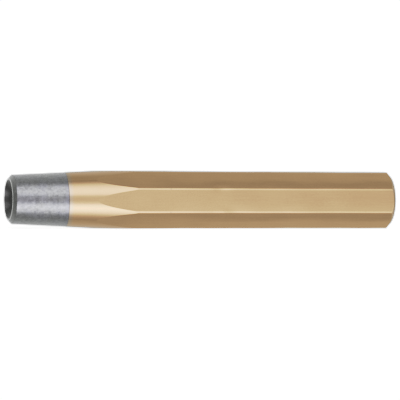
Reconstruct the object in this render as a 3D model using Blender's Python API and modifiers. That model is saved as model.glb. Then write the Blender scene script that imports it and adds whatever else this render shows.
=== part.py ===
"""Octagonal rivet header: a one-piece steel hand tool with a turned cup in its nose and a gold lacquer coat.

The tool lies on one flat of its octagon. Its axis runs along X, with the cupped nose at -X and the struck
end at +X. The origin is under the middle of its length, on the surface that it lies on. Sizes are in metres.

Every shape is drawn along its own axis first, with +Z out of the nose and the mouth of the cup at Z = 0,
so a station is a distance back from the mouth. An empty then lays them all down along X.
"""

import math

import bmesh
import bpy
from mathutils import Matrix

# Driving dimensions of the tool
LENGTH = 0.140
ACROSS_FLATS = 0.020
CORNER_RADIUS = 0.0014
TAPER = math.radians(2.8)

# The nose, back from the mouth of the cup
CUP_MOUTH_RADIUS = 0.00685
CUP_DEPTH = 0.0048
RIM_WIDTH = 0.00035
BEVEL_LENGTH = 0.00125
BEVEL_ROOT_RADIUS = 0.0086

# The struck end
END_FACE_RADIUS = 0.0088
END_CHAMFER = math.radians(45)

# The lacquer coat. It is thicker here than real lacquer, so that it can be a solid of its own.
COAT_START = 0.0200
COAT_WALL = 0.0003
FIT_GAP = 0.0003

# Fineness, and how far a helper shape runs past the shape that it joins or cuts
TURNED_STEPS = 96
CUP_ARC_STEPS = 12
CORNER_STEPS = 4
CORE_OVERLAP = 0.010
CUTTER_OVERRUN = 0.002
AXIS_MERGE = 0.00001
SHARP_ANGLE = math.radians(20)

EIGHTH = math.radians(45)
BLANK_RADIUS = 0.53 * ACROSS_FLATS / math.cos(EIGHTH / 2)


def clear_scene():
    for obj in list(bpy.data.objects):
        bpy.data.objects.remove(obj, do_unlink=True)


def new_collection(name):
    collection = bpy.data.collections.new(name)
    bpy.context.scene.collection.children.link(collection)
    return collection


def principled(name, colour, roughness, metallic):
    material = bpy.data.materials.new(name)
    material.use_nodes = True
    shader = material.node_tree.nodes["Principled BSDF"]
    shader.inputs["Base Color"].default_value = (*colour, 1.0)
    shader.inputs["Roughness"].default_value = roughness
    shader.inputs["Metallic"].default_value = metallic
    return material


def place(name, mesh, collection, axis_empty):
    """A new object for this mesh, on the tool's axis."""
    obj = bpy.data.objects.new(name, mesh)
    collection.objects.link(obj)
    obj.parent = axis_empty
    return obj


def as_helper(obj):
    obj.hide_render = True
    obj.display_type = "WIRE"
    return obj


def turned(name, profile, collection, axis_empty):
    """A solid of revolution. The profile is (radius, station) pairs, from the nose side to the struck end."""
    mesh = bpy.data.meshes.new(name)
    points = [(radius, 0.0, -station) for radius, station in profile]
    edges = [(i, i + 1) for i in range(len(points) - 1)]
    mesh.from_pydata(points, edges, [])
    obj = place(name, mesh, collection, axis_empty)
    screw = obj.modifiers.new("Turn", "SCREW")
    screw.axis = "Z"
    screw.angle = math.tau
    screw.steps = TURNED_STEPS
    screw.render_steps = TURNED_STEPS
    screw.use_merge_vertices = True
    screw.merge_threshold = AXIS_MERGE
    return obj


def octagon_bar(name, across_flats, front, back, collection, axis_empty):
    """An octagonal bar with rounded corners and one flat facing straight down, between two stations."""
    mesh = bpy.data.meshes.new(name)
    bm = bmesh.new()
    corner = across_flats / 2 / math.cos(EIGHTH / 2)
    bmesh.ops.create_cone(
        bm, cap_ends=True, segments=8, radius1=corner, radius2=corner, depth=back - front
    )
    bmesh.ops.rotate(bm, verts=bm.verts, matrix=Matrix.Rotation(EIGHTH / 2, 3, "Z"))
    bmesh.ops.translate(bm, verts=bm.verts, vec=(0.0, 0.0, -(front + back) / 2))
    long_edges = [e for e in bm.edges if abs(e.verts[0].co.z - e.verts[1].co.z) > (back - front) / 2]
    bmesh.ops.bevel(
        bm,
        geom=long_edges,
        affect="EDGES",
        offset=CORNER_RADIUS * math.tan(EIGHTH / 2),
        offset_type="OFFSET",
        segments=CORNER_STEPS,
        profile=0.5,
    )
    bm.to_mesh(mesh)
    bm.free()
    return as_helper(place(name, mesh, collection, axis_empty))


def boolean(obj, operation, other):
    modifier = obj.modifiers.new(operation.title(), "BOOLEAN")
    modifier.operation = operation
    modifier.solver = "EXACT"
    modifier.object = other


def cone_radius(station):
    """Radius of the long nose cone, which goes on growing until it has passed the octagon's corners."""
    return BEVEL_ROOT_RADIUS + (station - BEVEL_LENGTH) * math.tan(TAPER)


def cone_station(radius):
    return BEVEL_LENGTH + (radius - BEVEL_ROOT_RADIUS) / math.tan(TAPER)


def cup_arc():
    """The cup's section, from its deepest point on the axis out to its mouth: one arc of a sphere."""
    sphere = (CUP_MOUTH_RADIUS**2 + CUP_DEPTH**2) / (2 * CUP_DEPTH)
    reach = math.asin(CUP_MOUTH_RADIUS / sphere)
    angles = [reach * i / CUP_ARC_STEPS for i in range(CUP_ARC_STEPS + 1)]
    return [(sphere * math.sin(a), CUP_DEPTH - sphere + sphere * math.cos(a)) for a in angles]


def nose_profile(back):
    """The bright steel nose: cup, narrow flat rim, bevel and cone, closed off flat at the station back."""
    rim = (CUP_MOUTH_RADIUS + RIM_WIDTH, 0.0)
    bevel_root = (BEVEL_ROOT_RADIUS, BEVEL_LENGTH)
    cone_end = (cone_radius(back), back)
    return [*cup_arc(), rim, bevel_root, cone_end, (0.0, back)]


def blank_profile(inset, front):
    """The turned blank of the shank, all its surfaces moved in by inset: cone, full bar, end chamfer, end face."""
    back = LENGTH - inset
    blank = BLANK_RADIUS - inset
    face = END_FACE_RADIUS - inset
    chamfer_root = back - (blank - face) * math.tan(END_CHAMFER)
    return [
        (0.0, front),
        (cone_radius(front) - inset, front),
        (blank, cone_station(BLANK_RADIUS)),
        (blank, chamfer_root),
        (face, back),
        (0.0, back),
    ]


def shank(name, inset, front, collection, helpers, axis_empty):
    """The shank from the station front to its struck end, moved in by inset: a turned blank cut to an octagon.

    The eight flats run out on the cone as scallops, since the cone is the narrower of the two there."""
    obj = turned(name, blank_profile(inset, front), collection, axis_empty)
    bar = octagon_bar(
        name + "_octagon",
        ACROSS_FLATS - 2 * inset,
        front - CUTTER_OVERRUN,
        LENGTH + CUTTER_OVERRUN,
        helpers,
        axis_empty,
    )
    boolean(obj, "INTERSECT", bar)
    return obj


def finish(obj, material):
    """Applies the modifiers, then shades the round surfaces smooth and keeps the worked edges crisp."""
    graph = bpy.context.evaluated_depsgraph_get()
    mesh = bpy.data.meshes.new_from_object(obj.evaluated_get(graph))
    mesh.name = obj.name
    obj.modifiers.clear()
    obj.data = mesh
    mesh.materials.clear()
    mesh.materials.append(material)
    mesh.shade_smooth()
    mesh.set_sharp_from_angle(angle=SHARP_ANGLE)


def build_tool_body(parts, helpers, axis_empty):
    """The one-piece steel tool. Its shank is turned down under the coat, so that the coat has its true size."""
    nose_back = COAT_START - FIT_GAP
    body = turned("tool_body", nose_profile(nose_back), parts, axis_empty)
    core = shank("shank_core", COAT_WALL + FIT_GAP, CORE_OVERLAP, helpers, helpers, axis_empty)
    boolean(body, "UNION", as_helper(core))
    return body


def build_lacquer_coat(parts, helpers, axis_empty):
    """The gold coat: a skin over the shank and the struck end, open where it stops on the nose cone."""
    coat = shank("lacquer_coat", 0.0, COAT_START, parts, helpers, axis_empty)
    hollow_front = COAT_START - CUTTER_OVERRUN
    hollow = shank("coat_hollow", COAT_WALL, hollow_front, helpers, helpers, axis_empty)
    boolean(coat, "DIFFERENCE", as_helper(hollow))
    return coat


def main():
    clear_scene()
    parts = new_collection("rivet_header")
    helpers = new_collection("helpers")
    axis_empty = bpy.data.objects.new("tool_axis", None)
    parts.objects.link(axis_empty)
    axis_empty.location = (-LENGTH / 2, 0.0, ACROSS_FLATS / 2)
    axis_empty.rotation_euler = (0.0, math.radians(-90), 0.0)

    steel = principled("ground_steel", (0.42, 0.42, 0.44), 0.32, 1.0)
    lacquer = principled("gold_lacquer", (0.55, 0.38, 0.19), 0.38, 0.8)
    tool_body = build_tool_body(parts, helpers, axis_empty)
    lacquer_coat = build_lacquer_coat(parts, helpers, axis_empty)
    bpy.context.view_layer.update()
    finish(tool_body, steel)
    finish(lacquer_coat, lacquer)


main()
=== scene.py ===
"""Looks for the octagonal rivet header: ground steel, gold lacquer, a pale floor and soft studio light.

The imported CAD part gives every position. Both of its nodes get a fine mesh in their place, drawn from the
same few dimensions: rounded corners, soft worked edges, a true lacquer skin. Sizes are in metres. A station
is a distance back from the mouth of the cup, along the tool's axis.
"""

import math

import bpy
from mathutils import Matrix, Vector


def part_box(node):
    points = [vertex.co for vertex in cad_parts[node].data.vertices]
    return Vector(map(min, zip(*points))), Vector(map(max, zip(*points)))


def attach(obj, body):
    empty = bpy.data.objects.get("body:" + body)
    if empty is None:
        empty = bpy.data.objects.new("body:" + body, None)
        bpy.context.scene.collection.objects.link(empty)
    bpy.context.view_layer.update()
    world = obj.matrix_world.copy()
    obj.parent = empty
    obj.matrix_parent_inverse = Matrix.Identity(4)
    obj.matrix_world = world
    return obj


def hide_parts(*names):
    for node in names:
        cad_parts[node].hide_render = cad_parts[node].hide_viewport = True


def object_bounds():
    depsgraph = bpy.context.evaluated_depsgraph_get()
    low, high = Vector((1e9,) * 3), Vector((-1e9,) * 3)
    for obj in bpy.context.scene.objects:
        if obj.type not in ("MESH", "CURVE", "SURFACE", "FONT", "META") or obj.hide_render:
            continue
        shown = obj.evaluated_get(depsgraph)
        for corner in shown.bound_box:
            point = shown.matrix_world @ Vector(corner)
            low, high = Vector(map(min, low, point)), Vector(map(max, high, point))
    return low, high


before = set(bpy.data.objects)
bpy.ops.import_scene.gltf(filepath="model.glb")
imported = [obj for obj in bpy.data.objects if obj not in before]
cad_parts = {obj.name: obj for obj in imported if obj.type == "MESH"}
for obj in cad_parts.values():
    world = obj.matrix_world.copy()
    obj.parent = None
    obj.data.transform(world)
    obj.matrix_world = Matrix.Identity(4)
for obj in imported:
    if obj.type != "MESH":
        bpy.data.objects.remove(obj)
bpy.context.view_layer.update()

# The tool's place and its driving dimensions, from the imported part
STEEL_LOW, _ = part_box("tool_body")
COAT_LOW, COAT_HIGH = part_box("lacquer_coat")
MOUTH_X = STEEL_LOW.x
LENGTH = COAT_HIGH.x - MOUTH_X
ACROSS_FLATS = COAT_HIGH.z - COAT_LOW.z
AXIS_HEIGHT = COAT_LOW.z + ACROSS_FLATS / 2
COAT_START = COAT_LOW.x - MOUTH_X

# The nose, the taper and the struck end, as in the CAD part
TAPER = math.radians(2.8)
CUP_MOUTH_RADIUS = 0.00685
CUP_DEPTH = 0.0048
RIM_WIDTH = 0.00035
BEVEL_LENGTH = 0.00125
BEVEL_ROOT_RADIUS = 0.0086
END_FACE_RADIUS = 0.0088
CORNER_RADIUS = 0.0014
SIDES = 8
EIGHTH = math.tau / SIDES

# Surface detail that the CAD part leaves out. First the edges: how round the cup's lip and the rim's outer
# edge are, how much the bevel's edge is eased, and how far a worked edge is softened on each side.
CUP_LIP_ROUND = 0.00006
RIM_EDGE_ROUND = 0.00025
BEVEL_EDGE_DROP = 0.000024
WORKED_EDGE = 0.00010

# The lacquer film: its thickness, its gap to the steel, and how far it stands out past the CAD surface at its
# front edge, on the flats, and over what length it gets there
COAT_THICKNESS = 0.00010
COAT_CLEARANCE = 0.00001
FRONT_BUILD = 0.00003
COAT_BUILD = 0.00009
COAT_BUILD_RUN = 0.020

# The line where the lacquer starts: how far behind the CAD's line it is, how far it leans at the top and on
# the camera's side, and its slight wobble in (turns, height, phase)
COAT_RUN = 0.0002
COAT_LEAN_UP = 0.00022
COAT_LEAN_NEAR = 0.0005
COAT_WOBBLE = ((5, 0.00003, 0.0), (11, 0.00002, 1.0))

# The lacquer's front lip, as (height in film thicknesses, distance back) from the inside out, and how far
# behind its edge the inside and the outside of the skin start. Then the bare cone: how far it stops short of
# the CAD's line, its last rings ahead of the lacquer, and how far behind the edge the steel shank starts.
COAT_LIP = ((-1.26, 0.00012), (-0.81, 0.00002), (-0.45, 0.0), (-0.135, 0.00003))
INSIDE_FROM = 0.0003
OUTSIDE_FROM = 0.0001
CONE_END = 0.0012
UNDER_COAT = (0.00025, 0.00010, 0.0)
STEEL_BEHIND_EDGE = 0.0004

# The crown of the flats, and the station from which it grows and over what length
FLAT_CROWN = 0.00010
CROWN_FROM = 0.046
CROWN_RUN = 0.030

# The unevenness of the bar: its height, where it starts, and its waves as (share, length, turns, phase)
WAVINESS = 0.00003
WAVES_FROM = 0.034
WAVES_RUN = 0.016
WAVES = ((0.7, 0.047, 3, 0.8), (0.5, 0.019, -2, 2.1))

# Marks on the corner lines on each side of the camera's flat: nicks as (station, angle), and dents with a
# depth too
UPPER_CORNER = math.radians(67.5)
LOWER_CORNER = math.radians(112.5)
NICKS = ((0.0560, UPPER_CORNER), (0.0560, LOWER_CORNER))
NICK_SIZE = 0.00035
DENTS = ((0.0745, UPPER_CORNER, 0.00007), (0.0755, LOWER_CORNER, -0.00006))
DENT_LENGTH = 0.0022
DENT_SPREAD = math.radians(7)

# Most of a noise's values lie between these two
NOISE_SPREAD = (0.30, 0.70)

# Colours of the two finishes, as reflectances
STEEL_COLOUR = (0.300, 0.300, 0.298)
STEEL_BLUED = (0.285, 0.285, 0.302)
STEEL_DULL = (0.185, 0.185, 0.178)
# The rim is worn bright, and made near-white beyond that as a painted highlight round the mouth
RIM_WORN_GLINT = (0.95, 0.95, 0.93)
# Painted shade: the cup's hollow is darkened, in blotches, to stand for the shade inside it
CUP_SHADE = (0.066, 0.065, 0.062)
HEAT_TINT = (0.265, 0.26, 0.315)
COAT_SHADOW = (0.16, 0.14, 0.13)
GOLD_COLOUR = (0.83, 0.497, 0.240)
GOLD_THIN = (0.62, 0.54, 0.42)
GOLD_CHAMFER = (0.74, 0.50, 0.25)
EDGE_WORN = (0.22, 0.19, 0.155)

# Fineness of the meshes: the columns across a flat and round a corner, and the rings along each stretch
FLAT_COLUMNS = 26
CORNER_COLUMNS = 12
CUP_RINGS = 30
LIP_RINGS = 4
RIM_EDGE_RINGS = 6
BEVEL_RINGS = 10
CONE_RINGS = 48
SCALLOP_RINGS = 32
RUN_OUT_RINGS = 12
FLATS_RINGS = 70
BEFORE_CHAMFER_RINGS = 8
CHAMFER_RINGS = 6
FACE_EDGE_RINGS = 3
FACE_RINGS = 5

# The innermost rings of the cup and of the end face, as shares of their reach, and the stretch by the
# scallops and by the chamfer where the rings still follow their edge
CUP_CENTRE = 0.03
FACE_CENTRE = 0.05
EDGE_MARGIN = 0.002

# How many rounds are enough to settle the width of a flat
FLAT_ROUNDS = 20


def steps(first, last, count):
    """Values at even steps from first to last, both included."""
    return [first + (last - first) * i / count for i in range(count + 1)]


def held(value):
    """The value, held between 0 and 1."""
    return min(1.0, max(0.0, value))


def cone_radius(station):
    """Radius of the long nose cone, which goes on growing until it has passed the octagon's corners."""
    return BEVEL_ROOT_RADIUS + (station - BEVEL_LENGTH) * math.tan(TAPER)


def cone_station(radius):
    return BEVEL_LENGTH + (radius - BEVEL_ROOT_RADIUS) / math.tan(TAPER)


def half_flat():
    """Half the width of a flat, up to its rounded corner, and how far its crown tilts it there.

    Each depends on the other, so they are worked out in rounds."""
    apothem = ACROSS_FLATS / 2
    half = (apothem - CORNER_RADIUS) * math.tan(EIGHTH / 2)
    for _ in range(FLAT_ROUNDS):
        tilt = math.atan(2 * FLAT_CROWN / half)
        centre_height = apothem - FLAT_CROWN - CORNER_RADIUS * math.cos(tilt)
        half = centre_height * math.tan(EIGHTH / 2) + CORNER_RADIUS * math.sin(tilt)
    return half, tilt


def section():
    """The octagon's section: slightly crowned flats, joined by round corners.

    Each point is an angle, a radius and the share of the flats' crown that the point has lost."""
    apothem = ACROSS_FLATS / 2
    half, tilt = half_flat()
    side = []
    for i in range(FLAT_COLUMNS):
        across = half * (2 * i / FLAT_COLUMNS - 1)
        share = (across / half) ** 2
        side.append((across, apothem - FLAT_CROWN * share, share))
    centre = (half - CORNER_RADIUS * math.sin(tilt), apothem - FLAT_CROWN - CORNER_RADIUS * math.cos(tilt))
    for i in range(CORNER_COLUMNS):
        turn = tilt + (EIGHTH - 2 * tilt) * i / CORNER_COLUMNS
        across = centre[0] + CORNER_RADIUS * math.sin(turn)
        out = centre[1] + CORNER_RADIUS * math.cos(turn)
        side.append((across, out, 1.0))
    return [
        (EIGHTH * k + math.atan2(across, out), math.hypot(across, out), share)
        for k in range(SIDES)
        for across, out, share in side
    ]


SECTION = section()


def round_ring(station, radius):
    return [(station, radius)] * len(SECTION)


def full_radius(station, radius, share):
    """Radius of the octagon at a station. Its flats are true by the scallops, and crowned further back."""
    true_share = 1.0 - held((station - CROWN_FROM) / CROWN_RUN)
    return radius + FLAT_CROWN * share * true_share


def build(station):
    """How far the lacquer stands out past the CAD surface: little at its front edge, more on the flats."""
    return FRONT_BUILD + (COAT_BUILD - FRONT_BUILD) * held((station - COAT_START) / COAT_BUILD_RUN)


def wave(station, angle):
    """A slight unevenness of the drawn bar, which dies out where the nose has been turned."""
    fade = held((station - WAVES_FROM) / WAVES_RUN)
    waves = 0.0
    for share, length, turns, phase in WAVES:
        waves += share * math.sin(math.tau * station / length + turns * angle + phase)
    dents = 0.0
    for at, line, depth in DENTS:
        along = (station - at) / DENT_LENGTH
        around = (angle - line) / DENT_SPREAD
        dents += depth * math.exp(-(along**2) - around**2)
    return WAVINESS * fade * waves - dents


def shank_rings(inset, front):
    """Rings of the shank from a front station to the middle of the end face: cone, scallops, flats, chamfer.

    One ring follows the line where the cone meets the octagon, so that the scallops are drawn sharp, and
    the ring on each side of it sets how soft that edge looks. The chamfer's edge is drawn the same way."""
    rings = []
    scallops = [cone_station(full_radius(0.0, radius, share)) for _, radius, share in SECTION]
    flats_from = max(scallops) + EDGE_MARGIN
    chamfers = [LENGTH - (radius - END_FACE_RADIUS) for _, radius, _ in SECTION]

    def add(stations):
        ring = []
        for (angle, full, share), station in zip(SECTION, stations):
            octagon = full_radius(station, full, share)
            radius = min(cone_radius(station), octagon, END_FACE_RADIUS + LENGTH - station)
            ring.append((station, radius + build(station) - inset + wave(station, angle)))
        rings.append(ring)

    for share in steps(0.0, 1.0, SCALLOP_RINGS):
        add([front_of + (s - WORKED_EDGE - front_of) * share for s, front_of in zip(scallops, front)])
    add(scallops)
    for share in steps(0.0, 1.0, RUN_OUT_RINGS):
        add([s + WORKED_EDGE + (flats_from - s - WORKED_EDGE) * share for s in scallops])
    chamfers_from = min(chamfers) - EDGE_MARGIN
    for station in steps(flats_from, chamfers_from, FLATS_RINGS)[1:]:
        add([station] * len(SECTION))
    for share in steps(0.0, 1.0, BEFORE_CHAMFER_RINGS)[1:]:
        add([chamfers_from + (s - WORKED_EDGE - chamfers_from) * share for s in chamfers])
    add(chamfers)
    for share in steps(0.0, 1.0, CHAMFER_RINGS):
        add([s + WORKED_EDGE + (LENGTH - 2 * WORKED_EDGE - s) * share for s in chamfers])
    for drop in steps(0.0, WORKED_EDGE, FACE_EDGE_RINGS)[1:]:
        rings.append(round_ring(LENGTH - inset - (WORKED_EDGE - drop), END_FACE_RADIUS - inset - drop))
    for share in steps(1.0, FACE_CENTRE, FACE_RINGS)[1:]:
        rings.append(round_ring(LENGTH - inset, (END_FACE_RADIUS - inset) * share))
    return rings


def loft(name, rings, first_pole, last_pole):
    """A closed solid through the rings of (station, radius), shut with a point on the axis at each end."""
    columns = len(SECTION)
    verts = [point(first_pole, 0.0, 0.0)]
    for ring in rings:
        verts += [point(s, r, angle) for (s, r), (angle, _, _) in zip(ring, SECTION)]
    verts.append(point(last_pole, 0.0, 0.0))
    faces = []
    for j in range(columns):
        k = (j + 1) % columns
        faces.append((0, 1 + k, 1 + j))
        for i in range(len(rings) - 1):
            a = 1 + i * columns
            b = a + columns
            faces.append((a + j, a + k, b + k, b + j))
        last = 1 + (len(rings) - 1) * columns
        faces.append((last + j, last + k, len(verts) - 1))
    mesh = bpy.data.meshes.new(name)
    mesh.from_pydata(verts, [], faces)
    mesh.validate()
    mesh.shade_smooth()
    obj = bpy.data.objects.new(name, mesh)
    bpy.context.scene.collection.objects.link(obj)
    return obj


def point(station, radius, angle):
    """A point of the tool. Angle 0 is the flat on top, and the angle grows towards -Y, the camera's side."""
    return (MOUTH_X + station, -radius * math.sin(angle), AXIS_HEIGHT + radius * math.cos(angle))


def cup_rings():
    """The spherical cup, from near its deepest point out to where its lip starts."""
    sphere = (CUP_MOUTH_RADIUS**2 + CUP_DEPTH**2) / (2 * CUP_DEPTH)
    reach = math.asin(CUP_MOUTH_RADIUS / sphere)
    angles = [reach * share for share in steps(CUP_CENTRE, 1.0, CUP_RINGS)[:-1]]
    return [round_ring(CUP_DEPTH - sphere + sphere * math.cos(a), sphere * math.sin(a)) for a in angles]


def rim_rings():
    """The cup's small round lip, the flat rim, its rounder outer edge and the bevel behind it."""
    rings = []
    for a in steps(0.0, math.pi / 2, LIP_RINGS):
        station = CUP_LIP_ROUND * (1 - math.sin(a))
        rings.append(round_ring(station, CUP_MOUTH_RADIUS + CUP_LIP_ROUND * (1 - math.cos(a))))
    rim_edge = CUP_MOUTH_RADIUS + RIM_WIDTH
    slope = (BEVEL_ROOT_RADIUS - rim_edge) / BEVEL_LENGTH
    bevel_turn = math.atan(slope)
    run = RIM_EDGE_ROUND * math.tan((math.pi / 2 - bevel_turn) / 2)
    for a in steps(0.0, math.pi / 2 - bevel_turn, RIM_EDGE_RINGS):
        station = RIM_EDGE_ROUND * (1 - math.cos(a))
        rings.append(round_ring(station, rim_edge - run + RIM_EDGE_ROUND * math.sin(a)))
    bevel_from = RIM_EDGE_ROUND * (1 - math.sin(bevel_turn))
    for station in steps(bevel_from, BEVEL_LENGTH - WORKED_EDGE, BEVEL_RINGS)[1:]:
        rings.append(round_ring(station, rim_edge + slope * station))
    rings.append(round_ring(BEVEL_LENGTH, BEVEL_ROOT_RADIUS - BEVEL_EDGE_DROP))
    return rings


def build_steel():
    """The whole steel tool: cup, rim, bevel and cone, then the shank just inside the lacquer."""
    rings = cup_rings() + rim_rings()
    for station in steps(BEVEL_LENGTH + WORKED_EDGE, COAT_START - CONE_END, CONE_RINGS):
        rings.append(round_ring(station, cone_radius(station)))
    edge = coat_edge()
    for ahead in UNDER_COAT:
        rings.append([(s - ahead, cone_radius(s - ahead)) for s in edge])
    inset = COAT_THICKNESS + COAT_CLEARANCE
    rings += shank_rings(inset, [s + STEEL_BEHIND_EDGE for s in edge])
    steel = loft("tool_steel", rings, CUP_DEPTH, LENGTH - inset)
    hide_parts("tool_body")
    return steel


def coat_edge():
    """Where the lacquer starts on each side of the nose: a clean masked line, a little out of square."""
    edge = []
    for angle, _, _ in SECTION:
        station = COAT_START + COAT_RUN - COAT_LEAN_UP * math.cos(angle) - COAT_LEAN_NEAR * math.sin(angle)
        for turns, height, phase in COAT_WOBBLE:
            station += height * math.sin(turns * angle + phase)
        edge.append(station)
    return edge


def build_coat():
    """The lacquer skin: inside surface out from the end face to the front, round its front lip, and back."""
    edge = coat_edge()
    inner = shank_rings(COAT_THICKNESS, [s + INSIDE_FROM for s in edge])
    outer = shank_rings(0.0, [s + OUTSIDE_FROM for s in edge])
    lip = []
    for height, back in COAT_LIP:
        lip.append([(s + back, cone_radius(s) + FRONT_BUILD + COAT_THICKNESS * height) for s in edge])
    coat = loft("lacquer_skin", inner[::-1] + lip + outer, LENGTH - COAT_THICKNESS, LENGTH)
    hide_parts("lacquer_coat")
    return coat


class Graph:
    """Short names for building a node tree. An input may be a number, a tuple or another node's output."""

    def __init__(self, tree):
        self.tree = tree

    def add(self, kind, inputs=(), **settings):
        node = self.tree.nodes.new(kind)
        for name, value in settings.items():
            setattr(node, name, value)
        for key, value in dict(inputs).items():
            self.feed(node.inputs[key], value)
        return node

    def feed(self, socket, value):
        if isinstance(value, bpy.types.NodeSocket):
            self.tree.links.new(value, socket)
        elif socket.type == "RGBA" and len(value) == 3:
            socket.default_value = (*value, 1.0)
        else:
            socket.default_value = value

    def math(self, operation, a, b=0.0, c=0.0):
        return self.add("ShaderNodeMath", {0: a, 1: b, 2: c}, operation=operation).outputs[0]

    def stretch(self, vector, scale):
        return self.add("ShaderNodeMapping", {"Vector": vector, "Scale": scale}).outputs[0]

    def noise(self, vector, scale, detail=2.0, roughness=0.5):
        inputs = {"Vector": vector, "Scale": scale, "Detail": detail, "Roughness": roughness}
        return self.add("ShaderNodeTexNoise", inputs).outputs["Fac"]

    def between(self, value, low, high, to_low=0.0, to_high=1.0, smooth=True):
        """Maps value from low..high to to_low..to_high, held at both ends."""
        inputs = {"Value": value, "From Min": low, "From Max": high, "To Min": to_low, "To Max": to_high}
        kind = "SMOOTHSTEP" if smooth else "LINEAR"
        return self.add("ShaderNodeMapRange", inputs, interpolation_type=kind).outputs["Result"]

    def mix(self, factor, a, b, blend="MIX"):
        """Blends two colours. Inputs 6 and 7 are the node's colour sockets."""
        node = self.add("ShaderNodeMix", data_type="RGBA", blend_type=blend)
        for socket, value in ((node.inputs[0], factor), (node.inputs[6], a), (node.inputs[7], b)):
            self.feed(socket, value)
        return node.outputs[2]

    def grey(self, value):
        """A colour whose three channels are all this value."""
        return self.add("ShaderNodeCombineColor", {0: value, 1: value, 2: value}).outputs[0]

    def vary(self, tone, noise, amount):
        """A tone of about 1, made up to this amount lighter and darker by a noise."""
        swing = self.between(noise, *NOISE_SPREAD, -1.0, 1.0, smooth=False)
        return self.math("MULTIPLY_ADD", swing, amount, tone)

    def bump(self, height, distance, normal=None):
        inputs = {"Height": height, "Distance": distance, "Strength": 1.0}
        if normal is not None:
            inputs["Normal"] = normal
        return self.add("ShaderNodeBump", inputs).outputs["Normal"]


def new_material(name):
    material = bpy.data.materials.new(name)
    material.use_nodes = True
    graph = Graph(material.node_tree)
    return material, graph, material.node_tree.nodes["Principled BSDF"]


def axis_distance(graph, split):
    """Distance from the tool's axis of the point whose coordinates are split."""
    up = graph.math("SUBTRACT", split.outputs["Z"], AXIS_HEIGHT)
    across = graph.add("ShaderNodeCombineXYZ", {0: split.outputs["Y"], 1: up}).outputs[0]
    return graph.add("ShaderNodeVectorMath", {0: across}, operation="LENGTH").outputs["Value"]


def from_coat(graph, split):
    """How far in front of the lacquer's edge a point is, where the edge leans as coat_edge says."""
    radius = cone_radius(COAT_START)
    behind = graph.math("SUBTRACT", MOUTH_X + COAT_START + COAT_RUN, split.outputs["X"])
    up = graph.math("SUBTRACT", split.outputs["Z"], AXIS_HEIGHT)
    behind = graph.math("MULTIPLY_ADD", up, -COAT_LEAN_UP / radius, behind)
    return graph.math("MULTIPLY_ADD", split.outputs["Y"], COAT_LEAN_NEAR / radius, behind)


def corner_point(station, angle):
    """A point on one of the octagon's corner lines."""
    return point(station, max(radius for _, radius, _ in SECTION) + COAT_BUILD, angle)


# The steel. Streaks run round the tool, as turning marks do, and the mottle and the cloud are blotches.
STREAK_SCALE = 1500.0
STREAK_STRETCH = (1.0, 0.12, 0.12)
STREAK_TONE = 0.09
MOTTLE_SCALE = 1050.0
MOTTLE_STRETCH = (0.75, 1.0, 1.0)
MOTTLE_TONE = 0.34
STEEL_CLOUD_SCALE = 260.0
STEEL_CLOUD_TONE = 0.10
BLUED_WHERE = (0.40, 0.60)
STEEL_ROUGHNESS = (0.09, 0.12)
STEEL_SHEEN = 0.9
STEEL_SHEEN_ROUGHNESS = 0.5
STREAK_HEIGHT = 0.0000030
MOTTLE_HEIGHT = 0.0000110
# The dull bevel fades out between these shares of its length, the painted shade in the cup at its lip, and
# the rim, worn bright with a painted highlight on it, between these stations. The marks in the steel come in
# just behind the mouth.
BEVEL_EDGE = (0.95, 1.05)
CUP_EDGE = (CUP_MOUTH_RADIUS + 0.00002, CUP_MOUTH_RADIUS - 0.00008)
CUP_SHADE_WHERE = (0.62, 0.40)
CUP_SHADE_SHARE = (0.80, 0.97)
RIM_GLINT_REACH = (0.00016, 0.00006)
MARKS_FROM = (0.00010, 0.00030)
# The bluish tint and the dark line in front of the lacquer: how far ahead of its edge they reach
TINT_REACH = (0.0019, 0.0006)
TINT_WHERE = (0.38, 0.55)
TINT_SHARE = 0.45
SHADOW_REACH = (0.00026, 0.00012)


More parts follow.
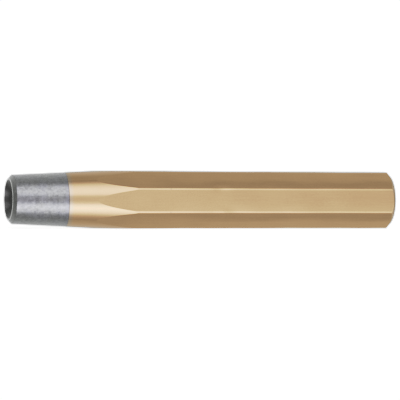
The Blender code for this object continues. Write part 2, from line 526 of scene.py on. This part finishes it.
def steel_material():
    material, graph, shader = new_material("ground_steel")
    place = graph.add("ShaderNodeTexCoord").outputs["Object"]
    split = graph.add("ShaderNodeSeparateXYZ", {"Vector": place})
    station = graph.math("SUBTRACT", split.outputs["X"], MOUTH_X)
    streaks = graph.noise(graph.stretch(place, STREAK_STRETCH), STREAK_SCALE, 3.0, 0.6)
    mottle = graph.noise(graph.stretch(place, MOTTLE_STRETCH), MOTTLE_SCALE, 3.0, 0.70)
    cloud = graph.noise(place, STEEL_CLOUD_SCALE, 3.0, 0.6)

    tone = graph.vary(1.0, streaks, STREAK_TONE)
    tone = graph.vary(tone, mottle, MOTTLE_TONE)
    tone = graph.vary(tone, cloud, STEEL_CLOUD_TONE)
    turned = graph.mix(graph.between(cloud, *BLUED_WHERE), STEEL_COLOUR, STEEL_BLUED)
    behind_bevel = graph.between(station, *(BEVEL_LENGTH * share for share in BEVEL_EDGE))
    colour = graph.mix(behind_bevel, STEEL_DULL, turned)
    colour = graph.mix(1.0, colour, graph.grey(tone), "MULTIPLY")

    in_cup = graph.between(axis_distance(graph, split), *CUP_EDGE)
    # Painted shade in the cup: its inside is darkened in blotches, as the shade of the hollow
    cup_shade = graph.math("MULTIPLY", in_cup, graph.between(cloud, *CUP_SHADE_WHERE, *CUP_SHADE_SHARE))
    colour = graph.mix(cup_shade, colour, CUP_SHADE)
    out_of_cup = graph.math("SUBTRACT", 1.0, in_cup)
    # The rim, worn bright and made near-white as a painted highlight along its edge
    rim = graph.math("MULTIPLY", graph.between(station, *RIM_GLINT_REACH), out_of_cup)
    colour = graph.mix(rim, colour, RIM_WORN_GLINT)

    ahead = from_coat(graph, split)
    tint = graph.math("MULTIPLY", graph.between(ahead, *TINT_REACH), graph.between(mottle, *TINT_WHERE))
    colour = graph.mix(graph.math("MULTIPLY", tint, TINT_SHARE), colour, HEAT_TINT)
    colour = graph.mix(graph.between(ahead, *SHADOW_REACH), colour, COAT_SHADOW)
    graph.feed(shader.inputs["Base Color"], colour)

    smoothest, spread = STEEL_ROUGHNESS
    graph.feed(shader.inputs["Roughness"], graph.math("MULTIPLY_ADD", streaks, spread, smoothest))
    shader.inputs["Metallic"].default_value = 1.0
    shader.inputs["Sheen Weight"].default_value = STEEL_SHEEN
    shader.inputs["Sheen Roughness"].default_value = STEEL_SHEEN_ROUGHNESS
    body = graph.between(station, *MARKS_FROM)
    normal = graph.bump(graph.math("MULTIPLY", streaks, body), STREAK_HEIGHT)
    normal = graph.bump(graph.math("MULTIPLY", mottle, body), MOTTLE_HEIGHT, normal)
    graph.feed(shader.inputs["Normal"], normal)
    return material


# The lacquer. The flake is fine, the peel is the slight orange peel of its surface, and the drawn lines of
# the bar under it run along the tool.
FLAKE_SCALE = 5200.0
FLAKE_TONE = 0.07
FLAKE_HEIGHT = 0.0000006
PEEL_SCALE = 900.0
PEEL_HEIGHT = 0.0000020
COAT_CLOUD_SCALE = 160.0
COAT_CLOUD_STRETCH = (0.5, 1.0, 1.0)
COAT_CLOUD_TONE = 0.035
DRAWN_SCALE = 1500.0
DRAWN_STRETCH = (0.05, 1.0, 1.0)
DRAWN_TONE = 0.022
LACQUER_ROUGHNESS = (0.09, 0.08)
CLEAR_COAT = 0.7
CLEAR_COAT_ROUGHNESS = 0.08
# The thin lacquer by its edge, the thinner lacquer on the chamfer and the worn edge of the struck face. The
# reaches are distances from the lacquer's edge or from the struck face, and WORN_RING is in radius.
THIN_REACH = (-0.0020, -0.0001)
THIN_SHARE = 0.65
CHAMFER_REACH = (-0.00135, -0.00115)
CHAMFER_SHARE = 0.7
WORN_REACH = (-0.00055, -0.00035)
WORN_RING = (END_FACE_RADIUS - 0.0003, END_FACE_RADIUS - 0.0001)
NICK_SHARE = 0.6


def lacquer_material():
    material, graph, shader = new_material("gold_lacquer")
    place = graph.add("ShaderNodeTexCoord").outputs["Object"]
    split = graph.add("ShaderNodeSeparateXYZ", {"Vector": place})
    flake = graph.noise(place, FLAKE_SCALE, 1.0)
    peel = graph.noise(place, PEEL_SCALE)
    cloud = graph.noise(graph.stretch(place, COAT_CLOUD_STRETCH), COAT_CLOUD_SCALE, 3.0)
    drawn = graph.noise(graph.stretch(place, DRAWN_STRETCH), DRAWN_SCALE)

    tone = graph.vary(1.0, flake, FLAKE_TONE)
    tone = graph.vary(tone, cloud, COAT_CLOUD_TONE)
    tone = graph.vary(tone, drawn, DRAWN_TONE)
    colour = graph.mix(1.0, GOLD_COLOUR, graph.grey(tone), "MULTIPLY")
    thin = graph.between(from_coat(graph, split), *THIN_REACH)
    colour = graph.mix(graph.math("MULTIPLY", thin, THIN_SHARE), colour, GOLD_THIN)
    tail = graph.math("SUBTRACT", split.outputs["X"], MOUTH_X + LENGTH)
    chamfer = graph.between(tail, *CHAMFER_REACH)
    colour = graph.mix(graph.math("MULTIPLY", chamfer, CHAMFER_SHARE), colour, GOLD_CHAMFER)
    worn_ring = graph.between(axis_distance(graph, split), *WORN_RING)
    worn = graph.math("MULTIPLY", graph.between(tail, *WORN_REACH), worn_ring)
    colour = graph.mix(worn, colour, EDGE_WORN)
    for station, angle in NICKS:
        ends = {0: place, 1: corner_point(station, angle)}
        away = graph.add("ShaderNodeVectorMath", ends, operation="DISTANCE").outputs["Value"]
        nick = graph.between(away, NICK_SIZE, NICK_SIZE / 3)
        colour = graph.mix(graph.math("MULTIPLY", nick, NICK_SHARE), colour, EDGE_WORN)
    graph.feed(shader.inputs["Base Color"], colour)

    smoothest, spread = LACQUER_ROUGHNESS
    graph.feed(shader.inputs["Roughness"], graph.math("MULTIPLY_ADD", flake, spread, smoothest))
    shader.inputs["Metallic"].default_value = 1.0
    shader.inputs["Coat Weight"].default_value = CLEAR_COAT
    shader.inputs["Coat Roughness"].default_value = CLEAR_COAT_ROUGHNESS
    normal = graph.bump(flake, FLAKE_HEIGHT, graph.bump(peel, PEEL_HEIGHT))
    graph.feed(shader.inputs["Normal"], normal)
    return material


# The floor: a pale paper with faint fibres, lit up from within so that it shows as white as a light table
FIBRE_SCALE = 60.0
PAPER_DARK = (0.19, 0.19, 0.19)
PAPER_LIGHT = (0.21, 0.21, 0.21)
PAPER_ROUGHNESS = 0.9
FLOOR_GLOW = 2.25
FLOOR_SIZE = 12.0
# The wall: a closed drum round everything, near enough for every camera to see it
WALL_SIDES = 96
WALL_RADIUS = 5.6
WALL_DEPTH = 11.0
WALL_GLOW = 2.5


def floor_material():
    material, graph, shader = new_material("floor_paper")
    place = graph.add("ShaderNodeTexCoord").outputs["Object"]
    fibre = graph.noise(place, FIBRE_SCALE, 4.0, 0.6)
    graph.feed(shader.inputs["Base Color"], graph.mix(fibre, PAPER_DARK, PAPER_LIGHT))
    shader.inputs["Roughness"].default_value = PAPER_ROUGHNESS
    shader.inputs["Emission Color"].default_value = (1.0, 1.0, 1.0, 1.0)
    shader.inputs["Emission Strength"].default_value = FLOOR_GLOW
    return material


# The camera: a long lens, a little above the tool, with the nose turned towards it
CAMERA_AZIMUTH = math.radians(-16.4)
CAMERA_ELEVATION = math.radians(2.1)
CAMERA_ROLL = math.radians(0.73)
CAMERA_DISTANCE = 1.04
CAMERA_SHIFT = (-0.00365, -0.00065)
LENS = 264.2
SENSOR = 36.0
CLIP_START = 0.01


def add_camera():
    back = Vector((
        math.sin(CAMERA_AZIMUTH) * math.cos(CAMERA_ELEVATION),
        -math.cos(CAMERA_AZIMUTH) * math.cos(CAMERA_ELEVATION),
        math.sin(CAMERA_ELEVATION),
    ))
    target = Vector((MOUTH_X + LENGTH / 2, 0.0, AXIS_HEIGHT))
    data = bpy.data.cameras.new("camera")
    data.lens = LENS
    data.sensor_width = SENSOR
    data.shift_x, data.shift_y = CAMERA_SHIFT
    data.clip_start = CLIP_START
    camera = bpy.data.objects.new("camera", data)
    camera.matrix_world = (
        Matrix.Translation(target + back * CAMERA_DISTANCE)
        @ back.to_track_quat("Z", "Y").to_matrix().to_4x4()
        @ Matrix.Rotation(CAMERA_ROLL, 4, "Z")
    )
    bpy.context.scene.collection.objects.link(camera)
    bpy.context.scene.camera = camera


def white_wall_material():
    material, graph, shader = new_material("white_wall")
    material.node_tree.nodes.remove(shader)
    light = graph.add("ShaderNodeEmission", {"Color": (1.0, 1.0, 1.0), "Strength": WALL_GLOW})
    graph.feed(material.node_tree.nodes["Material Output"].inputs["Surface"], light.outputs[0])
    return material


def add_floor():
    """A pale floor and a white wall round it. Neither shows in the metal, which sees the studio's lights."""
    bpy.ops.mesh.primitive_plane_add(size=FLOOR_SIZE, location=(0.0, 0.0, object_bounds()[0].z))
    floor = bpy.context.object
    floor.name = "floor"
    floor.data.materials.append(floor_material())
    floor.visible_glossy = False
    floor.visible_diffuse = False
    bpy.ops.mesh.primitive_cylinder_add(vertices=WALL_SIDES, radius=WALL_RADIUS, depth=WALL_DEPTH)
    wall = bpy.context.object
    wall.name = "wall"
    wall.data.materials.append(white_wall_material())
    wall.visible_glossy = False
    wall.visible_diffuse = False
    wall.visible_shadow = False


# The studio, as the metal sees it. The angle round the tool's axis is in degrees, up from the horizon on the
# camera's side, over the top and down to the horizon behind, and negative below the horizon.
# Each part of the studio has its brightness round the axis, in (degrees, brightness) pairs, and its share by
# the direction's part along the axis, from the nose's side at -1 to the struck end's side at 1.
ROOM = (
    (-180, 0.40), (-166, 0.45), (-145, 0.62), (-130, 0.64), (-113, 0.58), (-100, 0.51), (-93.5, 0.51),
    (-91, 0.33), (-70, 0.32), (70, 0.32), (86, 0.31), (88.8, 0.45), (104, 0.44), (110, 0.46), (126, 0.57),
    (145, 0.62), (166, 0.45), (180, 0.40),
)
ROOM_SHARE = (
    (-1.0, 1.1), (-0.85, 0.85), (-0.6, 0.85), (-0.2, 0.8), (0.17, 0.80), (0.24, 0.92), (0.34, 1.04),
    (0.6, 0.9), (1.0, 0.9),
)
HORIZON = ((-14, 0.0), (-7, 0.52), (10, 0.52), (16, 0.0))
HORIZON_SHARE = (
    (-1.0, 0.0), (-0.85, 0.1), (-0.66, 0.8), (-0.2, 0.9), (0.0, 1.0), (0.25, 1.10), (0.28, 1.06),
    (0.34, 0.72), (0.6, 0.8), (1.0, 0.6),
)
SOFTBOXES = (
    (-96, 0.0), (-87, 0.11), (-76, 0.18), (-66, 0.43), (-60, 0.81), (-53, 1.41), (-46, 2.00), (-40, 2.40),
    (-33, 2.60), (-24, 2.26), (-15.5, 1.30), (-10, 0.55), (-6, 0.10), (-3, 0.0), (9, 0.0), (13, 0.35),
    (19, 1.10), (27, 1.66), (36, 1.74), (45, 1.64), (55, 1.30), (65, 0.73), (75, 0.21), (84, 0.06), (92, 0.0),
)
SOFTBOX_SHARE = (
    (-1.0, 0.0), (-0.85, 0.05), (-0.68, 0.42), (-0.5, 0.7), (-0.15, 0.9), (0.0, 1.0), (0.22, 1.0),
    (0.27, 0.85), (0.34, 0.42), (0.40, 0.42), (0.52, 0.8), (0.8, 0.8), (1.0, 0.5),
)
# Every part of the studio, with the colour of its light
STUDIO = (
    (ROOM, ROOM_SHARE, (1.0, 1.03, 0.99)),
    (HORIZON, HORIZON_SHARE, (1.04, 1.0, 1.10)),
    (SOFTBOXES, SOFTBOX_SHARE, (0.985, 0.985, 1.06)),
)


def ramp(graph, factor, stops, low, high):
    """A brightness ramp of a value that runs from low to high. The stops are (value, brightness) pairs."""
    most = max(level for _, level in stops)
    node = graph.add("ShaderNodeValToRGB", {"Fac": graph.between(factor, low, high, smooth=False)})
    elements = node.color_ramp.elements
    for at, _ in stops:
        if low < at < high:
            elements.new((at - low) / (high - low))
    for element in elements:
        at = low + element.position * (high - low)
        level = level_at(stops, at) / most
        element.color = (level, level, level, 1.0)
    return graph.math("MULTIPLY", node.outputs["Color"], most)


def level_at(stops, at):
    """The brightness at a value, on straight lines between the stops and level beyond them."""
    if at <= stops[0][0]:
        return stops[0][1]
    for (low, a), (high, b) in zip(stops, stops[1:]):
        if at <= high:
            return a + (b - a) * (at - low) / (high - low)
    return stops[-1][1]


def add_studio():
    world = bpy.data.worlds.new("studio")
    bpy.context.scene.world = world
    world.use_nodes = True
    graph = Graph(world.node_tree)
    direction = graph.add("ShaderNodeTexCoord").outputs["Generated"]
    split = graph.add("ShaderNodeSeparateXYZ", {"Vector": direction})
    front = graph.math("MULTIPLY", split.outputs["Y"], -1.0)
    turn = graph.math("DEGREES", graph.math("ARCTAN2", split.outputs["Z"], front))
    light = (0.0, 0.0, 0.0)
    for round_axis, share, colour in STUDIO:
        level = ramp(graph, turn, round_axis, -180.0, 180.0)
        level = graph.math("MULTIPLY", level, ramp(graph, split.outputs["X"], share, -1.0, 1.0))
        terms = {0: colour, 1: graph.grey(level), 2: light}
        light = graph.add("ShaderNodeVectorMath", terms, operation="MULTIPLY_ADD").outputs[0]
    graph.feed(world.node_tree.nodes["Background"].inputs["Color"], light)


# The key light is wide and nearly overhead. It draws the soft shadow on the floor.
KEY_STRENGTH = 1.0
KEY_WIDTH = math.radians(100)
KEY_TILT = math.radians(12)


def add_key_light():
    sun = bpy.data.lights.new("soft_key", "SUN")
    sun.energy = KEY_STRENGTH
    sun.angle = KEY_WIDTH
    key = bpy.data.objects.new("soft_key", sun)
    key.rotation_euler = (KEY_TILT, 0.0, 0.0)
    key.visible_glossy = False
    bpy.context.scene.collection.objects.link(key)


# Scene brightness, and how bright it is shown. TONE_WHITE is shown as pure white.
TONE_WHITE = 2.4
TONE = (
    (0.15, 0.15), (0.30, 0.30), (0.50, 0.475), (0.70, 0.575), (1.00, 0.68), (1.30, 0.755), (1.70, 0.82),
    (2.10, 0.875),
)
# The last of Blender's four curves, which acts on all three colours
COMBINED_CURVE = 3


def set_tone():
    """A camera's tone curve: straight up to the middle tones, then a soft shoulder up to white."""
    view = bpy.context.scene.view_settings
    view.view_transform = "Standard"
    view.use_curve_mapping = True
    mapping = view.curve_mapping
    mapping.white_level = (TONE_WHITE, TONE_WHITE, TONE_WHITE)
    curve = mapping.curves[COMBINED_CURVE]
    for light, shown in TONE:
        curve.points.new(light / TONE_WHITE, shown)
    mapping.update()


steel = build_steel()
steel.data.materials.append(steel_material())
coat = build_coat()
coat.data.materials.append(lacquer_material())
for piece in (steel, coat):
    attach(piece, "root")
add_camera()
add_floor()
add_studio()
add_key_light()
set_tone()
